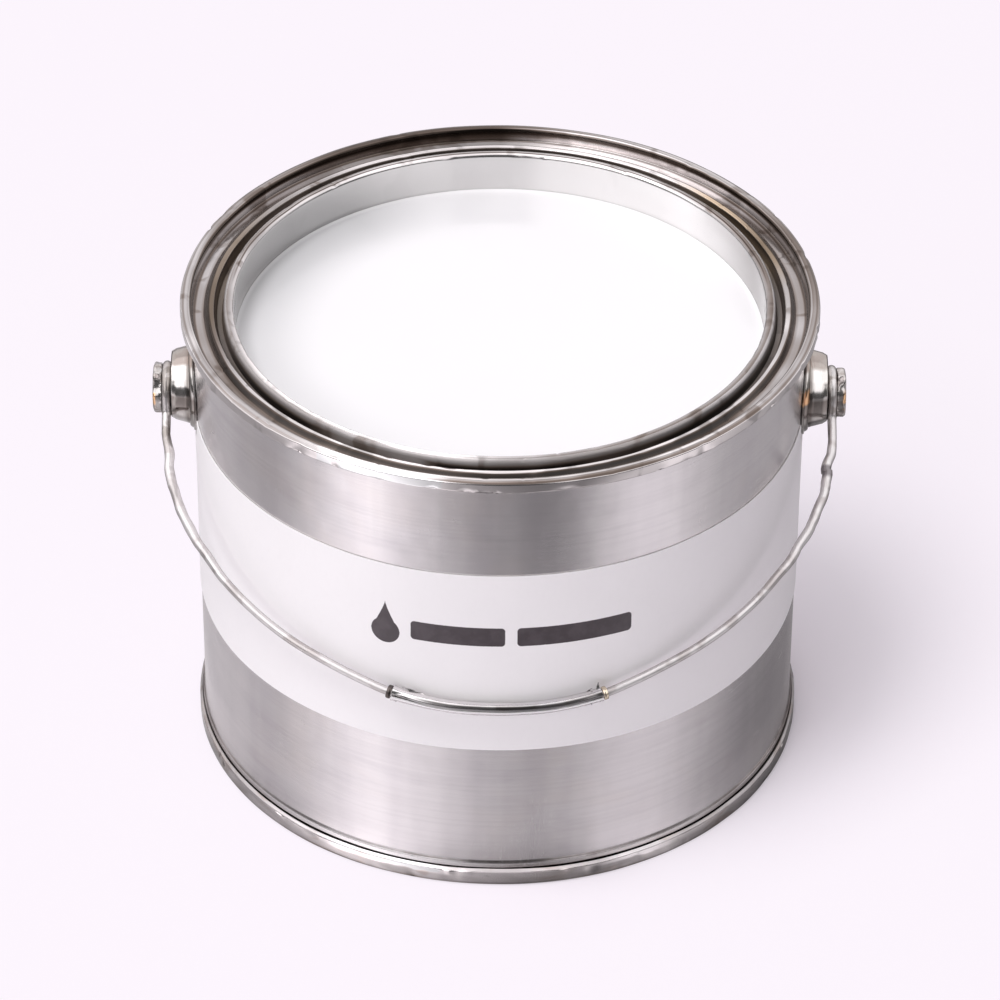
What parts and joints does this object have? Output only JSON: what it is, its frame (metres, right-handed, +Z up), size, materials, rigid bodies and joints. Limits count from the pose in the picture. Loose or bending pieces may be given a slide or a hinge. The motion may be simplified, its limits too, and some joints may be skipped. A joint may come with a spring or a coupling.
{
  "type": "paint can",
  "caption": "Open round tinplate paint can with double-seamed ends, a lever-lid ring, a plain label band, paint inside and a swinging wire handle on two side ears.",
  "frame": {"origin": "centre of the can's circular base, in the plane it stands on", "axes": "+Z up along the can's axis; ears on +X and -X; the resting handle lies on the -Y side of the wall"},
  "size_m": [0.1882, 0.173, 0.1364],
  "materials": {
    "wall_tinplate": "satin",
    "end_tinplate": "satin",
    "ring_tinplate": "gloss",
    "seam_compound": "matte",
    "white_paint": "gloss",
    "label_paper": "satin",
    "ear_steel": "gloss",
    "rivet_steel": "gloss",
    "wire_steel": "gloss",
    "sleeve_steel": "gloss"
  },
  "bodies": {
    "can": {"body_wall": "wall_tinplate", "bottom_end": "end_tinplate", "top_ring": "ring_tinplate", "top_seam_compound": "seam_compound", "bottom_seam_compound": "seam_compound", "paint": "white_paint", "label": "label_paper", "ear_left": "ear_steel", "ear_right": "ear_steel", "rivet_left": "rivet_steel", "rivet_right": "rivet_steel"},
    "bail": {"bail_wire": "wire_steel", "grip_sleeve": "sleeve_steel", "grip_ferrule_left": "sleeve_steel", "grip_ferrule_right": "sleeve_steel"}
  },
  "joints": [
    {"name": "bail_swing", "type": "hinge", "parent": "can", "child": "bail", "pos_m": [0, 0, 0.1048], "axis": [-1, 0, 0], "range_deg": [0, 232]}
  ]
}
